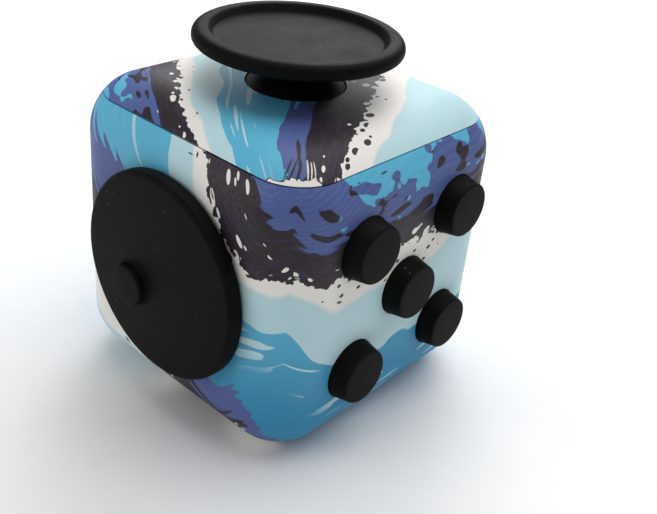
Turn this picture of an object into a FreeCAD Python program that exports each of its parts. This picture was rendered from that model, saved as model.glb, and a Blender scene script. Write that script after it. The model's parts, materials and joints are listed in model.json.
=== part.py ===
"""Fidget cube: a 33 mm cube of two three-face shells with a different finger control on each face.

+Z up, origin at the centre of the bottom face.  +X carries five push buttons, -Y the spinning
dial, +Z the thumb stick, -Z the thumb dish, -X the click wheels and the ball, +Y the flip switch.
Each face's mechanism is drawn in that face's own frame, whose local z points out of the cube and
is zero on the face, and is then turned into place by on_face().
"""

import FreeCAD
import Part
import math
import os

Vector = FreeCAD.Vector

# ---------------------------------------------------------------- driving dimensions, mm
SIDE = 33.0                 # cube edge
HALF = SIDE / 2
EDGE_ROUND = 6.2            # rounding of every edge and corner
WALL = 1.8                  # shell thickness
SEAM = 14.2                 # seam planes, from the cube's centre
SEAM_GAP = 0.14             # fine open groove along the seam
LIP = 0.4                   # height of the lip behind the seam
LIP_THICK = 0.7
STANDOUT_X = 2.0            # buttons on +X and wheels on -X stand out alike
STANDOUT_Y = 2.7            # dial nub on -Y and switch on +Y stand out alike
EPS = 0.05                  # bearing and stack-up clearance
# how far two of the mechanisms sit from the middle of their face, right and up
FACE_SHIFT = {"+X": (0.25, 0.0), "-Y": (0.3, 0.3)}

# shell screws, up through the bottom into posts that hang from the top
POST_X, POST_Y, POST_R = 6.3, 7.9, 1.6
SCREW_R = 0.75              # small self-tapping screws throughout
CASE_SCREW_HEAD_R, CASE_SCREW_HEAD_H = 1.45, 1.0
PILOT_DEPTH = 5.0

# thumb dish, a pressed-in square pad on the bottom
DISH_SIDE, DISH_CORNER = 19.2, 3.2
DISH_FIT = 0.1
DISH_THICK = 3.3
DISH_DEPTH, DISH_R = 2.0, 8.2
TUB_SIDE, TUB_FLOOR = 21.8, 1.4

# five push buttons
BUTTON_PITCH = 7.0          # the outer four sit at +-pitch from the middle one
BUTTON_R, BUTTON_TIP_R = 3.2, 2.85
BUTTON_BORE = 3.28
BUTTON_FLANGE_R = 3.9
BUTTON_TRAVEL = 1.0
MAT_TOP, MAT_THICK = -4.6, 0.8
MAT_SIDE = 21.6
PLATE_SIDE, PLATE_THICK = 22.0, 1.2
BUTTON_BOSS = 10.0          # screw bosses at the middles of the plate's sides
BOSS_R = 1.4

# spinning dial
DIAL_R, DIAL_BACK, DIAL_FRONT = 10.85, 0.25, 1.8
DIAL_NUB_X, DIAL_NUB_Z, DIAL_NUB_R = -3.5, -2.2, 2.25
DIAL_SHAFT_R, DIAL_SHAFT_END = 2.2, -5.0
DIAL_BOSS_R, DIAL_BOSS_END = 4.2, -4.3

# thumb stick, a ball joint whose centre lies below the top face
STICK_PIVOT = -5.0
DOME_R, DOME_THICK = 7.1, 0.9
DOME_OPENING = 7.25         # radius of the ball-shaped opening in the shell
DISC_R, DISC_TOP, DISC_MID, DISC_UNDER = 10.7, 5.5, 4.6, 3.75
DISC_DISH_R, DISC_DISH_DEPTH = 8.4, 0.85
NECK_R = 3.0
STEM_R, STEM_END = 1.6, -10.2
SEAT_R, SEAT_THICK = 5.3, 1.0
CUP_R, CUP_BORE, CUP_FLOOR = 8.2, 7.35, -5.5
CUP_EAR_R = 9.6             # radius of the four screw ears

# flip switch
FLIP_PIVOT = -3.2
FLIP_HALF_ANGLE = 11.5      # the switch rests this far to one side
FLIP_WIDTH, FLIP_END_R = 5.0, 7.68
FLIP_TOP = 4.75             # top corners above the pivot
FLIP_LEVER = 3.5            # tip centre below the pivot
FLIP_TIP_R = 0.7
FLIP_PIN_R = 0.6

# click wheels and ball
WHEEL_R, WHEEL_AXIS, WHEEL_UP = 4.5, -2.5, 4.2
WHEEL_WIDTH, WHEEL_PITCH, WHEEL_TEETH, TOOTH_DEPTH = 2.7, 2.95, 16, 0.55
AXLE_R = 0.65
BALL_R, BALL_AXIS, BALL_UP = 3.3, -1.6, -5.6
CRADLE_BACK, CRADLE_THICK = -8.4, 1.2


# ---------------------------------------------------------------- small helpers
def block(x0, x1, y0, y1, z0, z1):
    return Part.makeBox(x1 - x0, y1 - y0, z1 - z0, Vector(x0, y0, z0))


def post(radius, z0, z1, x=0.0, y=0.0):
    return Part.makeCylinder(radius, z1 - z0, Vector(x, y, z0))


def rod_x(radius, x0, x1, y, z):
    return Part.makeCylinder(radius, x1 - x0, Vector(x0, y, z), Vector(1, 0, 0))


def ball_at(radius, z, y=0.0):
    return Part.makeSphere(radius, Vector(0, y, z))


def square(side, corner, z0, z1):
    h = side / 2
    body = block(-h, h, -h, h, z0, z1)
    uprights = [e for e in body.Edges if abs(e.Vertexes[0].Z - e.Vertexes[1].Z) > 0.01]
    return body.makeFillet(corner, uprights)


def turned(points):
    """A solid of revolution about local z from (radius, height) corners."""
    corners = [Vector(r, 0, z) for r, z in points]
    face = Part.Face(Part.makePolygon(corners + corners[:1]))
    return face.revolve(Vector(0, 0, 0), Vector(0, 0, 1), 360)


def extruded_x(points, x0, x1):
    """A prism along local x from (y, z) corners."""
    corners = [Vector(x0, y, z) for y, z in points]
    face = Part.Face(Part.makePolygon(corners + corners[:1]))
    return face.extrude(Vector(x1 - x0, 0, 0))


def rim_edges(solid, z, radius):
    """The circular edges of a turned solid at one height and radius."""
    found = []
    for e in solid.Edges:
        if hasattr(e.Curve, "Radius") and abs(e.Curve.Radius - radius) < 1e-6:
            if abs(e.Curve.Center.z - z) < 1e-6:
                found.append(e)
    return found


def screw(head_r, head_h, length, x=0.0, y=0.0, z=0.0):
    """A pan-head screw under z: shank upwards, head downwards, with a cross recess in the head."""
    body = post(SCREW_R, z, z + length, x, y).fuse(post(head_r, z - head_h, z, x, y))
    arm = head_r * 0.6
    slot = 0.14
    depth = z - head_h * 0.45
    cross = block(x - arm, x + arm, y - slot, y + slot, z - head_h, depth)
    cross = cross.fuse(block(x - slot, x + slot, y - arm, y + arm, z - head_h, depth))
    return body.cut(cross).removeSplitter()


def coil(radius, wire, z0, z1, turns):
    """A coil spring between two heights."""
    rise = z1 - z0 - 2 * wire
    path = Part.makeHelix(rise / turns, rise, radius)
    path.translate(Vector(0, 0, z0 + wire))
    section = Part.Wire([Part.Circle(Vector(radius, 0, z0 + wire), Vector(0, 1, 0), wire).toShape()])
    return Part.Wire(path.Edges).makePipeShell([section], True, True)


def on_face(shape, face):
    """Turn a shape from a face's own frame into the cube's frame."""
    right = {"+X": (0, 1, 0), "-Y": (1, 0, 0), "-X": (0, -1, 0), "+Y": (-1, 0, 0), "+Z": (1, 0, 0),
             "-Z": (1, 0, 0)}[face]
    up = {"+Z": (0, 1, 0), "-Z": (0, -1, 0)}.get(face, (0, 0, 1))
    out = Vector(*right).cross(Vector(*up))
    aside, above = FACE_SHIFT.get(face, (0.0, 0.0))
    middle = Vector(0, 0, HALF) + out * HALF + Vector(*right) * aside + Vector(*up) * above
    place = FreeCAD.Matrix(right[0], up[0], out.x, middle.x,
                           right[1], up[1], out.y, middle.y,
                           right[2], up[2], out.z, middle.z,
                           0, 0, 0, 1)
    moved = shape.copy()
    moved.transformShape(place)
    return moved


# ---------------------------------------------------------------- housing
def rounded_cube(inset):
    half = HALF - inset
    body = block(-half, half, -half, half, -half, half)
    body = body.makeFillet(EDGE_ROUND - inset, body.Edges)
    body.translate(Vector(0, 0, HALF))
    return body


def lower_region(extra):
    """The lower shell's side of the three seam planes, moved out by extra.

    The three edges where two upper faces meet, and their shared corner, stay with the upper shell.
    """
    far = SIDE
    limit = SEAM + extra
    core = HALF - EDGE_ROUND
    inside = core - 0.3
    region = block(-limit, far, -far, limit, -far, limit)
    region = region.cut(block(-far, -inside, -core, far, inside, far))
    region = region.cut(block(-far, -inside, inside, far, -core, far))
    region = region.cut(block(-far, core, inside, far, inside, far))
    region.translate(Vector(0, 0, HALF))
    return region


def shells():
    cavity = rounded_cube(WALL)
    hollow = rounded_cube(0).cut(cavity)
    inner_skin = rounded_cube(WALL - LIP_THICK).cut(cavity)
    lip_space = rounded_cube(WALL - LIP_THICK - 0.1).cut(cavity)
    lower = hollow.common(lower_region(0))
    lower = lower.fuse(inner_skin.common(lower_region(LIP))).removeSplitter()
    upper = hollow.cut(lower_region(SEAM_GAP)).cut(lip_space.common(lower_region(LIP + 0.08)))
    return lower, upper


def post_places():
    return [(sx * POST_X, sy * POST_Y) for sx in (-1, 1) for sy in (-1, 1)]


def button_places():
    p = BUTTON_PITCH
    return {"click_button_centre": (0, 0), "click_button_upper_near": (-p, p),
            "click_button_lower_far": (p, -p), "quiet_button_upper_far": (p, p),
            "quiet_button_lower_near": (-p, -p)}


def side_places(distance):
    return [(distance, 0), (-distance, 0), (0, distance), (0, -distance)]


def lower_shell(shell):
    # bottom: the tub that takes the thumb dish, with four screw holes in its floor
    tub_floor = -DISH_THICK - DISH_FIT
    tub = square(TUB_SIDE, DISH_CORNER + 1.2, tub_floor - TUB_FLOOR, -WALL)
    pocket = square(DISH_SIDE + 2 * DISH_FIT, DISH_CORNER + DISH_FIT, tub_floor, 1)
    shell = shell.fuse(on_face(tub, "-Z")).cut(on_face(pocket, "-Z"))
    for x, y in post_places():
        shell = shell.cut(on_face(post(SCREW_R + 0.1, tub_floor - 2, tub_floor + 1, x, y), "-Z"))
    # +X: button bores and the bosses that carry the button plate
    for x, y in button_places().values():
        shell = shell.cut(on_face(post(BUTTON_BORE, -WALL - 1, 1, x, y), "+X"))
    for x, y in side_places(BUTTON_BOSS):
        boss = post(BOSS_R, MAT_TOP - MAT_THICK, -WALL + 0.2, x, y)
        hole = post(SCREW_R, MAT_TOP - MAT_THICK, -WALL, x, y)
        shell = shell.fuse(on_face(boss, "+X")).cut(on_face(hole, "+X"))
    # -Y: the dial's bearing
    bearing = post(DIAL_BOSS_R, DIAL_BOSS_END, -WALL + 0.2)
    bore = post(DIAL_SHAFT_R + EPS, DIAL_BOSS_END - 1, 1)
    return shell.fuse(on_face(bearing, "-Y")).cut(on_face(bore, "-Y")).removeSplitter()


def upper_shell(shell):
    # the four posts that the case screws bite into
    post_foot = HALF * 2 - DISH_THICK - DISH_FIT - TUB_FLOOR
    for x, y in post_places():
        shell = shell.fuse(on_face(post(POST_R, -post_foot, -WALL + 0.2, x, y), "+Z"))
        shell = shell.cut(on_face(post(SCREW_R, -post_foot, -post_foot + PILOT_DEPTH, x, y), "+Z"))
    # top: ball-shaped opening for the stick's dome, and bosses for its cup
    shell = shell.cut(on_face(ball_at(DOME_OPENING, STICK_PIVOT).cut(
        block(-9, 9, -9, 9, -20, -WALL - 0.6)), "+Z"))
    for x, y in side_places(CUP_EAR_R):
        shell = shell.fuse(on_face(post(1.3, -3.3, -WALL + 0.2, x, y), "+Z"))
        shell = shell.cut(on_face(post(SCREW_R, -3.3, -1.4, x, y), "+Z"))
    # +Y: slot for the flip switch, cut round its pivot, and two bosses
    slot = rod_x(FLIP_END_R + 0.17, -FLIP_WIDTH / 2 - 0.15, FLIP_WIDTH / 2 + 0.15, 0, FLIP_PIVOT)
    shell = shell.cut(on_face(slot.common(block(-9, 9, -9, 9, -WALL - 0.1, 5)), "+Y"))
    for y in (-9.3, 9.3):
        shell = shell.fuse(on_face(post(BOSS_R, -4.6, -WALL + 0.2, 0, y), "+Y"))
        shell = shell.cut(on_face(post(SCREW_R, -4.6, -WALL, 0, y), "+Y"))
    # -X: slot for the wheels, round opening for the ball, and bosses for the cradle
    half = 1.5 * WHEEL_PITCH + 0.12
    slot = rod_x(WHEEL_R + 0.3, -half, half, WHEEL_UP, WHEEL_AXIS)
    shell = shell.cut(on_face(slot.common(block(-9, 9, -9, 12, -WALL - 0.1, 5)), "-X"))
    opening = ball_at(BALL_R + EPS, BALL_AXIS, BALL_UP).common(block(-9, 9, -12, 9, -WALL - 0.1, 5))
    shell = shell.cut(on_face(opening, "-X"))
    for x, y in cradle_screw_places():
        shell = shell.fuse(on_face(post(BOSS_R, CRADLE_BACK + CRADLE_THICK, -WALL + 0.2, x, y), "-X"))
        shell = shell.cut(on_face(post(SCREW_R, CRADLE_BACK + CRADLE_THICK, -WALL, x, y), "-X"))
    return shell.removeSplitter()


def case_screws():
    floor = -DISH_THICK - DISH_FIT
    found = []
    for x, y in post_places():
        one = screw(CASE_SCREW_HEAD_R, CASE_SCREW_HEAD_H, TUB_FLOOR + PILOT_DEPTH - 0.3)
        one.rotate(Vector(0, 0, 0), Vector(1, 0, 0), 180)
        one.translate(Vector(x, y, floor))
        found.append(on_face(one, "-Z"))
    return Part.makeCompound(found)


def thumb_dish():
    pad = square(DISH_SIDE, DISH_CORNER, -DISH_THICK, 0)
    # a bowl whose sphere gives the dish's depth at its rim radius
    sphere_r = (DISH_R ** 2 + DISH_DEPTH ** 2) / (2 * DISH_DEPTH)
    pad = pad.cut(ball_at(sphere_r, sphere_r - DISH_DEPTH))
    for x, y in post_places():
        pocket = post(CASE_SCREW_HEAD_R + 0.15, -DISH_THICK, -DISH_THICK + CASE_SCREW_HEAD_H + 0.05, x, y)
        pad = pad.cut(pocket)
    return on_face(pad, "-Z")


# ---------------------------------------------------------------- +X push buttons
def button(x, y):
    flange_top = -WALL - 0.1
    cap = turned([(0, MAT_TOP + BUTTON_TRAVEL), (1.5, MAT_TOP + BUTTON_TRAVEL), (1.5, -2.7),
                  (BUTTON_FLANGE_R, -2.7), (BUTTON_FLANGE_R, flange_top), (BUTTON_R, flange_top),
                  (BUTTON_R, 0), (BUTTON_TIP_R, STANDOUT_X), (0, STANDOUT_X)])
    cap = cap.makeFillet(0.3, rim_edges(cap, STANDOUT_X, BUTTON_TIP_R))
    cap.translate(Vector(x, y, 0))
    return on_face(cap, "+X")


def button_mat():
    base = MAT_TOP - MAT_THICK
    top = MAT_TOP + BUTTON_TRAVEL
    mat = square(MAT_SIDE, 2.5, base, MAT_TOP)
    for x, y in button_places().values():
        dome = turned([(0, MAT_TOP - 0.2), (3.0, MAT_TOP - 0.2), (3.0, MAT_TOP), (1.8, top), (0, top)])
        room = turned([(0, base), (2.45, base), (2.45, MAT_TOP - 0.2), (1.3, top - 0.4), (0, top - 0.4)])
        for shape in (dome, room):
            shape.translate(Vector(x, y, 0))
        mat = mat.fuse(dome).cut(room)
    for x, y in side_places(BUTTON_BOSS):
        mat = mat.cut(post(BOSS_R + 0.15, base - 1, MAT_TOP + 1, x, y))
    return on_face(mat.removeSplitter(), "+X")


def snap_domes():
    """Three thin steel domes under the clicking buttons."""
    base = MAT_TOP - MAT_THICK
    rim, rise, sheet = 2.2, 0.45, 0.12
    outer = (rim ** 2 + rise ** 2) / (2 * rise)
    centre = base + rise - outer
    dome = ball_at(outer, centre).cut(ball_at(outer - sheet, centre))
    dome = dome.common(block(-3, 3, -3, 3, base, base + 1))
    found = []
    for name, (x, y) in button_places().items():
        if name.startswith("click"):
            one = dome.copy()
            one.translate(Vector(x, y, 0))
            found.append(on_face(one, "+X"))
    return Part.makeCompound(found)


def button_plate():
    top = MAT_TOP - MAT_THICK
    plate = square(PLATE_SIDE, 2.5, top - PLATE_THICK, top)
    for x, y in side_places(BUTTON_BOSS):
        plate = plate.cut(post(SCREW_R + 0.1, top - 3, top + 1, x, y))
    for x, y in button_places().values():
        plate = plate.cut(post(0.5, top - 3, top + 1, x, y))
    return on_face(plate, "+X")


def button_plate_screws():
    under = MAT_TOP - MAT_THICK - PLATE_THICK
    length = -WALL - 0.3 - under
    return Part.makeCompound([on_face(screw(1.3, 0.8, length, x, y, under), "+X")
                              for x, y in side_places(BUTTON_BOSS)])


# ---------------------------------------------------------------- -Y spinning dial
def dial():
    disc = turned([(0, DIAL_SHAFT_END), (DIAL_SHAFT_R, DIAL_SHAFT_END), (DIAL_SHAFT_R, DIAL_BACK),
                   (DIAL_R, DIAL_BACK), (DIAL_R, DIAL_FRONT), (0, DIAL_FRONT)])
    disc = disc.makeFillet(0.55, rim_edges(disc, DIAL_FRONT, DIAL_R))
    disc = disc.makeFillet(0.2, rim_edges(disc, DIAL_BACK, DIAL_R))
    nub = turned([(0, DIAL_FRONT - 0.3), (DIAL_NUB_R, DIAL_FRONT - 0.3), (DIAL_NUB_R, STANDOUT_Y),
                  (0, STANDOUT_Y)])
    nub = nub.makeFillet(0.3, rim_edges(nub, STANDOUT_Y, DIAL_NUB_R))
    nub.translate(Vector(DIAL_NUB_X, DIAL_NUB_Z, 0))
    hole = post(SCREW_R, DIAL_SHAFT_END, DIAL_SHAFT_END + 4.5)
    return on_face(disc.fuse(nub).cut(hole).removeSplitter(), "-Y")


def dial_wave_washer():
    """A thin dished spring washer between the bearing's end and the retainer."""
    low, high, sheet = DIAL_SHAFT_END, DIAL_BOSS_END, 0.2
    ring = turned([(2.35, high - sheet), (3.7, low), (3.7, low + sheet), (2.35, high)])
    return on_face(ring, "-Y")


def dial_retainer():
    disc = turned([(SCREW_R + 0.05, DIAL_SHAFT_END - 0.9), (4.0, DIAL_SHAFT_END - 0.9),
                   (4.0, DIAL_SHAFT_END), (SCREW_R + 0.05, DIAL_SHAFT_END)])
    return on_face(disc, "-Y")


def dial_screw():
    return on_face(screw(1.6, 0.9, 5.0, 0, 0, DIAL_SHAFT_END - 0.9), "-Y")


# ---------------------------------------------------------------- +Z thumb stick
def zone(outer, inner, low, high):
    """A ring of a hollow ball about the stick's pivot, between two heights above the pivot."""
    shell = ball_at(outer, STICK_PIVOT).cut(ball_at(inner, STICK_PIVOT))
    return shell.common(block(-9, 9, -9, 9, STICK_PIVOT + low, STICK_PIVOT + high))


def dome_crown():
    """Height of the flat on top of the dome, where the cap's neck sits."""
    return STICK_PIVOT + math.sqrt(DOME_R ** 2 - NECK_R ** 2)


def stick_cap():
    floor = DISC_TOP - DISC_DISH_DEPTH
    crown = dome_crown()
    cap = turned([(0, crown), (NECK_R, crown), (NECK_R, 3.3), (4.2, DISC_UNDER - 0.2),
                  (DISC_R - 1.3, DISC_UNDER), (DISC_R, DISC_MID - 0.1), (DISC_R, DISC_MID + 0.1),
                  (DISC_R - 0.5, DISC_TOP - 0.15), (DISC_R - 0.9, DISC_TOP), (DISC_R - 1.3, DISC_TOP),
                  (DISC_DISH_R, floor), (0, floor)])
    hole = post(SCREW_R, crown, crown + 2.4)
    return on_face(cap.cut(hole), "+Z")


def stick_dome():
    crown = dome_crown()
    dome = zone(DOME_R, DOME_R - DOME_THICK, 3.1, DOME_R + 1)
    dome = dome.cut(block(-9, 9, -9, 9, crown, 9))
    stem = post(STEM_R, STEM_END, crown)
    return on_face(dome.fuse(stem).cut(post(SCREW_R, STEM_END - 1, crown + 1)).removeSplitter(), "+Z")


def glide_ring():
    return on_face(zone(DOME_R - DOME_THICK - 0.1, SEAT_R + 0.1, 2.3, 4.3), "+Z")


def stick_seat():
    seat = zone(SEAT_R, SEAT_R - SEAT_THICK, CUP_FLOOR - STICK_PIVOT - 0.2, 3.3)
    cup = turned([(2.6, CUP_FLOOR - 1.2), (CUP_R, CUP_FLOOR - 1.2), (CUP_R, -WALL - 0.05),
                  (CUP_BORE, -WALL - 0.05), (CUP_BORE, CUP_FLOOR), (2.6, CUP_FLOOR)])
    cup = cup.fuse(seat)
    for x, y in side_places(CUP_EAR_R):
        ear = block(-1.5, 1.5, CUP_BORE + 0.4, CUP_EAR_R + 1.3, -4.5, -3.3)
        ear.rotate(Vector(0, 0, 0), Vector(0, 0, 1), math.degrees(math.atan2(y, x)) - 90)
        cup = cup.fuse(ear).cut(post(SCREW_R + 0.1, -6, -2, x, y))
    return on_face(cup.removeSplitter(), "+Z")


def stick_seat_screws():
    return Part.makeCompound([on_face(screw(1.2, 0.7, 3.0, x, y, -4.5), "+Z")
                              for x, y in side_places(CUP_EAR_R)])


def stick_spring():
    return on_face(coil(3.1, 0.25, STEM_END, CUP_FLOOR - 1.2, 3.5), "+Z")


def stick_washer():
    disc = turned([(SCREW_R + 0.05, STEM_END - 0.8), (4.2, STEM_END - 0.8), (4.2, STEM_END),
                   (SCREW_R + 0.05, STEM_END)])
    return on_face(disc, "+Z")


def stick_screw():
    under = STEM_END - 0.8
    return on_face(screw(1.5, 0.8, dome_crown() + 2.2 - under, 0, 0, under), "+Z")


# ---------------------------------------------------------------- +Y flip switch
def tilted(shape):
    shape = shape.copy()
    shape.rotate(Vector(0, 0, FLIP_PIVOT), Vector(1, 0, 0), -FLIP_HALF_ANGLE)
    return shape


def flip_rocker():
    half = FLIP_WIDTH / 2
    p = FLIP_PIVOT
    profile = extruded_x([(-8, p + FLIP_TOP), (0, p + 4.1), (8, p + FLIP_TOP), (8, p + 1.2), (5.2, p - 1.0),
                          (-5.2, p - 1.0), (-8, p + 1.2)], -half, half)
    body = profile.common(rod_x(FLIP_END_R, -half, half, 0, p))
    body = body.makeFillet(0.35, [e for e in body.Edges if e.BoundBox.ZMin > p + 3.9])
    lever = block(-1.2, 1.2, -FLIP_TIP_R, FLIP_TIP_R, p - FLIP_LEVER, p)
    lever = lever.fuse(rod_x(FLIP_TIP_R, -1.2, 1.2, 0, p - FLIP_LEVER))
    body = body.fuse(lever).cut(rod_x(FLIP_PIN_R + EPS, -half - 1, half + 1, 0, p))
    return on_face(tilted(body.removeSplitter()), "+Y")


def flip_pin():
    return on_face(rod_x(FLIP_PIN_R, -4.0, 4.0, 0, FLIP_PIVOT), "+Y")


def flip_bracket():
    ear_in, ear_out, base = FLIP_WIDTH / 2 + 0.25, FLIP_WIDTH / 2 + 1.5, -9.3
    frame = block(-ear_out, ear_out, -10.8, 10.8, -5.8, -4.6)
    frame = frame.cut(block(-ear_in, ear_in, -7.9, 7.9, -7, -3))
    for side in (-1, 1):
        ear = block(ear_in, ear_out, -2.6, 2.6, base, -WALL - 0.05)
        if side < 0:
            ear = ear.mirror(Vector(0, 0, 0), Vector(1, 0, 0))
        frame = frame.fuse(ear)
    frame = frame.fuse(block(-ear_out, ear_out, -2.6, 2.6, base, base + 0.8))
    frame = frame.cut(rod_x(FLIP_PIN_R, -ear_out - 1, ear_out + 1, 0, FLIP_PIVOT))
    for y in (-9.3, 9.3):
        frame = frame.cut(post(SCREW_R + 0.1, -7, -3, 0, y))
    return on_face(frame.removeSplitter(), "+Y")


def flip_leaf():
    """A thin steel strip with a hump that the lever's tip snaps over."""
    low, top, sheet = -8.3, -7.35, 0.15
    crest, foot, end = 0.35, 1.3, 2.5
    over = [(-end, low), (-foot, low), (-crest, top), (crest, top), (foot, low), (end, low)]
    under = [(y, z - sheet) for y, z in reversed(over)]
    strip = extruded_x(over + under, -1.6, 1.6)
    feet = block(-1.6, 1.6, -end, -1.8, -8.5, low - sheet).fuse(block(-1.6, 1.6, 1.8, end, -8.5, low - sheet))
    return on_face(strip.fuse(feet).removeSplitter(), "+Y")


def flip_bracket_screws():
    return Part.makeCompound([on_face(screw(1.3, 0.8, 3.7, 0, y, -5.8), "+Y") for y in (-9.3, 9.3)])


# ---------------------------------------------------------------- -X click wheels and ball
def cradle_screw_places():
    return [(-8.2, 8.0), (8.2, 8.0), (-8.2, -8.6), (8.2, -8.6)]


def click_wheel(place):
    """A toothed wheel on the shared axle."""
    outline = []
    for tooth in range(WHEEL_TEETH):
        for share, radius in ((-0.24, WHEEL_R), (0.24, WHEEL_R), (0.36, WHEEL_R - TOOTH_DEPTH),
                              (0.64, WHEEL_R - TOOTH_DEPTH)):
            turn = 2 * math.pi * (tooth + share) / WHEEL_TEETH
            outline.append((WHEEL_UP + radius * math.sin(turn), WHEEL_AXIS + radius * math.cos(turn)))
    middle = (place - 1) * WHEEL_PITCH
    wheel = extruded_x(outline, middle - WHEEL_WIDTH / 2, middle + WHEEL_WIDTH / 2)
    crown = rod_x(WHEEL_R, middle - WHEEL_WIDTH / 2, middle + WHEEL_WIDTH / 2, WHEEL_UP, WHEEL_AXIS)
    crown = crown.makeFillet(0.35, [e for e in crown.Edges if e.Curve.TypeId == "Part::GeomCircle"])
    bore = rod_x(AXLE_R + EPS, -9, 9, WHEEL_UP, WHEEL_AXIS)
    return on_face(wheel.common(crown).cut(bore), "-X")


def wheel_axle():
    return on_face(rod_x(AXLE_R, -6.1, 6.1, WHEEL_UP, WHEEL_AXIS), "-X")


def ball_sleeve(radius, z0, z1):
    return post(radius, z0, z1, 0, BALL_UP)


def cradle():
    floor = CRADLE_BACK + CRADLE_THICK
    plate = block(-9.8, 9.8, -10.7, 9.6, CRADLE_BACK, floor)
    for x0, x1 in ((-6.1, -4.85), (4.85, 6.1)):
        plate = plate.fuse(block(x0, x1, WHEEL_UP - 2.2, WHEEL_UP + 2.2, floor, -WALL - 0.05))
    sleeve = ball_sleeve(4.85, floor - 0.3, -WALL - 0.05).cut(ball_sleeve(4.35, floor, 0))
    plate = plate.fuse(sleeve).cut(rod_x(AXLE_R, -7, 7, WHEEL_UP, WHEEL_AXIS))
    # the axle snaps down into open-topped slots
    plate = plate.cut(block(-7, 7, WHEEL_UP - 0.5, WHEEL_UP + 0.5, WHEEL_AXIS, 0))
    for x, y in cradle_screw_places():
        plate = plate.cut(post(SCREW_R + 0.1, -10, -5, x, y))
        plate = plate.cut(post(1.35, CRADLE_BACK - 1, CRADLE_BACK + 0.6, x, y))
    return on_face(plate.removeSplitter(), "-X")


def cradle_screws():
    under = CRADLE_BACK + 0.6
    return Part.makeCompound([on_face(screw(1.25, 0.55, -WALL - 0.3 - under, x, y, under), "-X")
                              for x, y in cradle_screw_places()])


def click_leaf():
    """Two spring fingers whose hooked tips rest between the teeth of the outer wheels."""
    floor = CRADLE_BACK + CRADLE_THICK
    back, sheet, hook = 9.0, 0.15, 0.075
    gap = 2 * math.pi * 4.5 / WHEEL_TEETH       # the gap that the tips rest in, from straight out
    reach = WHEEL_R - TOOTH_DEPTH + 0.07
    tip_y, tip_z = WHEEL_UP + reach * math.sin(gap), WHEEL_AXIS + reach * math.cos(gap)
    slope = math.cos(gap) / math.sin(gap)
    outer_z, inner_z = [tip_z + slope * (y - tip_y) for y in (back + sheet, back)]
    found = block(-4.2, 4.2, back, back + 0.3, floor, floor + 2.2)
    for x in (-WHEEL_PITCH, WHEEL_PITCH):
        finger = extruded_x([(back, floor + 0.6), (back + sheet, floor + 0.6), (back + sheet, outer_z + hook),
                             (tip_y, tip_z + hook), (tip_y, tip_z - hook), (back, inner_z - hook)],
                            x - 0.9, x + 0.9)
        found = found.fuse(finger)
    return on_face(found.removeSplitter(), "-X")


def ball():
    return on_face(ball_at(BALL_R, BALL_AXIS, BALL_UP), "-X")


def ball_ring():
    """A low-friction ring that the ball rests in and drags round inside the cup."""
    ring = ball_sleeve(3.3, BALL_AXIS - 2.9, BALL_AXIS - 1.3)
    return on_face(ring.cut(ball_at(BALL_R + EPS, BALL_AXIS, BALL_UP)).cut(ball_sleeve(1.6, -9, 0)), "-X")


def ball_cup():
    cup = ball_sleeve(4.27, -5.9, -WALL - 0.1).cut(ball_at(BALL_R + EPS, BALL_AXIS, BALL_UP))
    cup = cup.cut(ball_sleeve(BALL_R + EPS, BALL_AXIS, 0))
    cup = cup.cut(ball_sleeve(3.3 + EPS, BALL_AXIS - 2.95, BALL_AXIS - 1.25))
    return on_face(cup, "-X")


def ball_spring():
    """A dished steel spring under the ball's cup."""
    low, high, sheet = CRADLE_BACK + CRADLE_THICK, -5.9, 0.2
    ring = turned([(1.2, high - sheet), (3.6, low), (3.6, low + sheet), (1.2, high)])
    ring.translate(Vector(0, BALL_UP, 0))
    return on_face(ring, "-X")


# ---------------------------------------------------------------- every node
def nodes():
    lower, upper = shells()
    found = {"lower_shell": lower_shell(lower), "upper_shell": upper_shell(upper),
             "case_screws": case_screws(), "thumb_dish": thumb_dish()}
    for name, (x, y) in button_places().items():
        found[name] = button(x, y)
    found.update(button_mat=button_mat(), snap_domes=snap_domes(), button_plate=button_plate(),
                 button_plate_screws=button_plate_screws())
    found.update(dial=dial(), dial_wave_washer=dial_wave_washer(), dial_retainer=dial_retainer(),
                 dial_screw=dial_screw())
    found.update(stick_cap=stick_cap(), stick_dome=stick_dome(), glide_ring=glide_ring(),
                 stick_seat=stick_seat(), stick_seat_screws=stick_seat_screws(),
                 stick_spring=stick_spring(), stick_washer=stick_washer(), stick_screw=stick_screw())
    found.update(flip_rocker=flip_rocker(), flip_pin=flip_pin(), flip_bracket=flip_bracket(),
                 flip_leaf=flip_leaf(), flip_bracket_screws=flip_bracket_screws())
    for place in range(3):
        found["click_wheel_%d" % (place + 1)] = click_wheel(place)
    found.update(wheel_axle=wheel_axle(), cradle=cradle(), cradle_screws=cradle_screws(),
                 click_leaf=click_leaf(), ball=ball(), ball_ring=ball_ring(), ball_cup=ball_cup(),
                 ball_spring=ball_spring())
    return found


os.makedirs("parts", exist_ok=True)
for name, shape in nodes().items():
    box = shape.BoundBox
    print("%-24s solids %d valid %s volume %9.2f  x %6.2f %6.2f  y %6.2f %6.2f  z %6.2f %6.2f" % (
        name, len(shape.Solids), shape.isValid(), shape.Volume, box.XMin, box.XMax, box.YMin, box.YMax,
        box.ZMin, box.ZMax))
    shape.exportStep("parts/%s.step" % name)
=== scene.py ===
"""Fidget cube: finishes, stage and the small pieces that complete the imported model.

Lengths are metres in the cube's own frame.  Outlines and the names that end in _MM are in
millimetres, and so are the print and the grain of every finish, from the middle of the cube.
"""

import json
import math
import random
from typing import NamedTuple

import bmesh
import bpy
from bpy.props import FloatProperty, FloatVectorProperty, IntProperty, PointerProperty
from bpy.types import Operator, Panel, PropertyGroup
from mathutils import Matrix, Vector


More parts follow.
